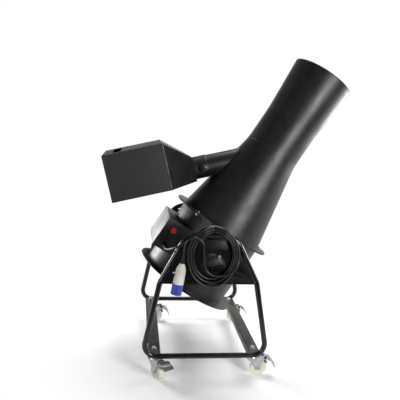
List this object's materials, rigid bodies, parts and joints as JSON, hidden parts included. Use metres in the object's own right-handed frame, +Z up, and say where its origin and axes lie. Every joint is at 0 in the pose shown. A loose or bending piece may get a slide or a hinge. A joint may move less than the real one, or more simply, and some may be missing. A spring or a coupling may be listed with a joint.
{
  "type": "confetti blower",
  "caption": "Wheeled tube stand with a tilting fan barrel, a side hopper that feeds confetti into the airflow, a control box and a coiled mains lead.",
  "frame": {"origin": "middle of the box round the blower without its free mains lead, on the floor", "axes": "+Z up, +X the way the barrel leans and blows, +Y away from the side that has the start button and the lead"},
  "size_m": [1.2306, 0.832, 1.5325],
  "materials": {
    "satin_black_paint": "satin",
    "matt_black_paint": "matt",
    "gloss_black_paint": "gloss",
    "grey_paint": "satin",
    "zinc_plate": "zinc plated",
    "cream_nylon": "moulded",
    "grey_enamel": "satin",
    "cast_aluminium": "cast",
    "pale_cover_paint": "satin",
    "red_plastic": "gloss",
    "pale_red_plastic": "gloss",
    "black_plastic": "moulded",
    "black_rubber": "smooth sheath",
    "grey_white_plastic": "moulded",
    "blue_plastic": "moulded",
    "brass": "nickel free"
  },
  "bodies": {
    "stand": {"near_side_frame": "gloss_black_paint", "far_side_frame": "gloss_black_paint", "near_pivot_plate": "gloss_black_paint", "far_pivot_plate": "gloss_black_paint", "left_cross_bar": "grey_paint", "right_cross_bar": "grey_paint", "castor_stem_near_left": "zinc_plate", "castor_nut_near_left": "zinc_plate", "castor_stem_far_left": "zinc_plate", "castor_nut_far_left": "zinc_plate", "castor_stem_near_right": "zinc_plate", "castor_nut_near_right": "zinc_plate", "castor_stem_far_right": "zinc_plate", "castor_nut_far_right": "zinc_plate", "cord_lead": "black_rubber", "cord_coil": "black_rubber", "cord_tail": "black_rubber", "plug_body": "grey_white_plastic", "plug_shroud": "blue_plastic", "plug_pins": "brass"},
    "barrel": {"fan_casing": "satin_black_paint", "cone": "satin_black_paint", "throat_tube": "satin_black_paint", "mouth_flare": "satin_black_paint", "feed_pipe": "satin_black_paint", "near_trunnion_bracket": "satin_black_paint", "far_trunnion_bracket": "satin_black_paint", "near_pivot_bolt": "zinc_plate", "far_pivot_bolt": "zinc_plate", "near_lock_bolt": "zinc_plate", "far_lock_bolt": "zinc_plate", "fan_motor": "grey_enamel", "near_motor_arm": "satin_black_paint", "far_motor_arm": "satin_black_paint", "inlet_guard": "zinc_plate", "control_box": "satin_black_paint", "control_box_cover": "pale_cover_paint", "button_collar": "pale_red_plastic", "cable_gland": "black_plastic", "flange_bolt_left": "zinc_plate", "flange_bolt_right": "zinc_plate"},
    "fan": {"motor_shaft": "zinc_plate", "impeller": "cast_aluminium"},
    "hopper": {"hopper_box": "matt_black_paint", "hopper_funnel": "matt_black_paint", "hopper_sleeve": "matt_black_paint"},
    "knob": {"hopper_knob": "black_plastic"},
    "button": {"start_button": "red_plastic"},
    "castor_near_left": {"castor_fork_near_left": "zinc_plate"},
    "wheel_near_left": {"castor_wheel_near_left": "cream_nylon"},
    "pedal_near_left": {"brake_pedal_near_left": "zinc_plate"},
    "castor_far_left": {"castor_fork_far_left": "zinc_plate"},
    "wheel_far_left": {"castor_wheel_far_left": "cream_nylon"},
    "pedal_far_left": {"brake_pedal_far_left": "zinc_plate"},
    "castor_near_right": {"castor_fork_near_right": "zinc_plate"},
    "wheel_near_right": {"castor_wheel_near_right": "cream_nylon"},
    "pedal_near_right": {"brake_pedal_near_right": "zinc_plate"},
    "castor_far_right": {"castor_fork_far_right": "zinc_plate"},
    "wheel_far_right": {"castor_wheel_far_right": "cream_nylon"},
    "pedal_far_right": {"brake_pedal_far_right": "zinc_plate"}
  },
  "joints": [
    {"name": "barrel_tilt", "type": "hinge", "parent": "stand", "child": "barrel", "pos_m": [-0.10519, 0.03491, 0.54], "axis": [0, 1, 0], "range_deg": [-30, 30], "deforming": ["cord_lead"]},
    {"name": "fan_spin", "type": "hinge", "parent": "barrel", "child": "fan", "pos_m": [-0.13682, 0.03491, 0.44746], "axis": [0.5235, 0, 0.852], "continuous": true},
    {"name": "hopper_slide", "type": "slide", "parent": "barrel", "child": "hopper", "axis": [-0.9697, 0, -0.2441], "range_m": [0, 0.03]},
    {"name": "hopper_knob_turn", "type": "hinge", "parent": "hopper", "child": "knob", "pos_m": [-0.11803, -0.03509, 0.96829], "axis": [0, 1, 0], "range_deg": [-360, 0]},
    {"name": "start_button_press", "type": "slide", "parent": "barrel", "child": "button", "axis": [0, 1, 0], "range_m": [0, 0.004], "stiffness_N_per_m": 400},
    {"name": "castor_swivel_near_left", "type": "hinge", "parent": "stand", "child": "castor_near_left", "pos_m": [-0.34419, -0.28709, 0.1], "axis": [0, 0, 1], "continuous": true},
    {"name": "wheel_roll_near_left", "type": "hinge", "parent": "castor_near_left", "child": "wheel_near_left", "pos_m": [-0.32769, -0.31567, 0.04], "axis": [0.866, 0.5, 0], "continuous": true},
    {"name": "brake_pedal_press_near_left", "type": "hinge", "parent": "castor_near_left", "child": "pedal_near_left", "pos_m": [-0.31219, -0.34252, 0.0921], "axis": [0.866, 0.5, 0], "range_deg": [0, 40]},
    {"name": "castor_swivel_far_left", "type": "hinge", "parent": "stand", "child": "castor_far_left", "pos_m": [-0.34419, 0.35691, 0.1], "axis": [0, 0, 1], "continuous": true},
    {"name": "wheel_roll_far_left", "type": "hinge", "parent": "castor_far_left", "child": "wheel_far_left", "pos_m": [-0.31119, 0.35691, 0.04], "axis": [0, 1, 0], "continuous": true},
    {"name": "brake_pedal_press_far_left", "type": "hinge", "parent": "castor_far_left", "child": "pedal_far_left", "pos_m": [-0.28019, 0.35691, 0.0921], "axis": [0, 1, 0], "range_deg": [-40, 0]},
    {"name": "castor_swivel_near_right", "type": "hinge", "parent": "stand", "child": "castor_near_right", "pos_m": [0.12781, -0.28709, 0.1], "axis": [0, 0, 1], "continuous": true},
    {"name": "wheel_roll_near_right", "type": "hinge", "parent": "castor_near_right", "child": "wheel_near_right", "pos_m": [0.16081, -0.28709, 0.04], "axis": [0, 1, 0], "continuous": true},
    {"name": "brake_pedal_press_near_right", "type": "hinge", "parent": "castor_near_right", "child": "pedal_near_right", "pos_m": [0.19181, -0.28709, 0.0921], "axis": [0, 1, 0], "range_deg": [-40, 0]},
    {"name": "castor_swivel_far_right", "type": "hinge", "parent": "stand", "child": "castor_far_right", "pos_m": [0.12781, 0.35691, 0.1], "axis": [0, 0, 1], "continuous": true},
    {"name": "wheel_roll_far_right", "type": "hinge", "parent": "castor_far_right", "child": "wheel_far_right", "pos_m": [0.16081, 0.35691, 0.04], "axis": [0, 1, 0], "continuous": true},
    {"name": "brake_pedal_press_far_right", "type": "hinge", "parent": "castor_far_right", "child": "pedal_far_right", "pos_m": [0.19181, 0.35691, 0.0921], "axis": [0, 1, 0], "range_deg": [-40, 0]}
  ]
}
